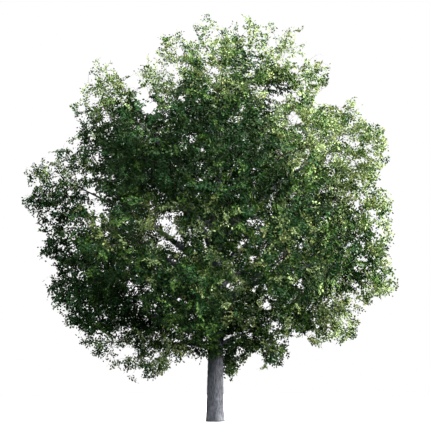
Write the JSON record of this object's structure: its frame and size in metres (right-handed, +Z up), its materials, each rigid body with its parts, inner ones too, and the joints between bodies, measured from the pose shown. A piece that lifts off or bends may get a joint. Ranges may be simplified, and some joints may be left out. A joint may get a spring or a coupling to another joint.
{
  "type": "elm tree",
  "caption": "Field-grown broad-leaved tree with one short clear trunk, rising boughs and a wide rounded crown of separate leaf masses with small gaps of sky.",
  "frame": {"origin": "middle of the flat cut under the trunk, at ground level", "axes": "+Z up along the trunk, +X to the right and +Y away from the viewer of the picture"},
  "size_m": [10.8497, 9.2906, 11.9705],
  "materials": {
    "bark": "matte",
    "foliage": "matte"
  },
  "bodies": {
    "root": {"bough_back_high_left": "bark", "bough_back_high_right": "bark", "bough_back_low": "bark", "bough_back_mid": "bark", "bough_back_mid_left": "bark", "bough_back_mid_right": "bark", "bough_back_top": "bark", "bough_front_high_left": "bark", "bough_front_high_right": "bark", "bough_front_low": "bark", "bough_front_mid": "bark", "bough_front_mid_left": "bark", "bough_front_mid_right": "bark", "bough_front_top": "bark", "bough_hanging_left": "bark", "bough_left_high": "bark", "bough_left_low": "bark", "bough_left_mid": "bark", "bough_lower_left": "bark", "bough_lower_right": "bark", "bough_right_high": "bark", "bough_right_low": "bark", "bough_right_mid": "bark", "bough_top_left": "bark", "bough_top_right": "bark", "bough_under_right": "bark", "bough_upper_left": "bark", "bough_upper_right": "bark", "mass_back_high_left": "foliage", "mass_back_high_right": "foliage", "mass_back_low": "foliage", "mass_back_mid": "foliage", "mass_back_mid_left": "foliage", "mass_back_mid_right": "foliage", "mass_back_top": "foliage", "mass_front_high_left": "foliage", "mass_front_high_right": "foliage", "mass_front_low": "foliage", "mass_front_mid": "foliage", "mass_front_mid_left": "foliage", "mass_front_mid_right": "foliage", "mass_front_top": "foliage", "mass_hanging_left": "foliage", "mass_left_high": "foliage", "mass_left_low": "foliage", "mass_left_mid": "foliage", "mass_lower_left": "foliage", "mass_lower_right": "foliage", "mass_right_high": "foliage", "mass_right_low": "foliage", "mass_right_mid": "foliage", "mass_top": "foliage", "mass_top_left": "foliage", "mass_top_right": "foliage", "mass_under_centre": "foliage", "mass_under_left": "foliage", "mass_under_right": "foliage", "mass_upper_left": "foliage", "mass_upper_right": "foliage", "trunk": "bark"}
  },
  "joints": []
}
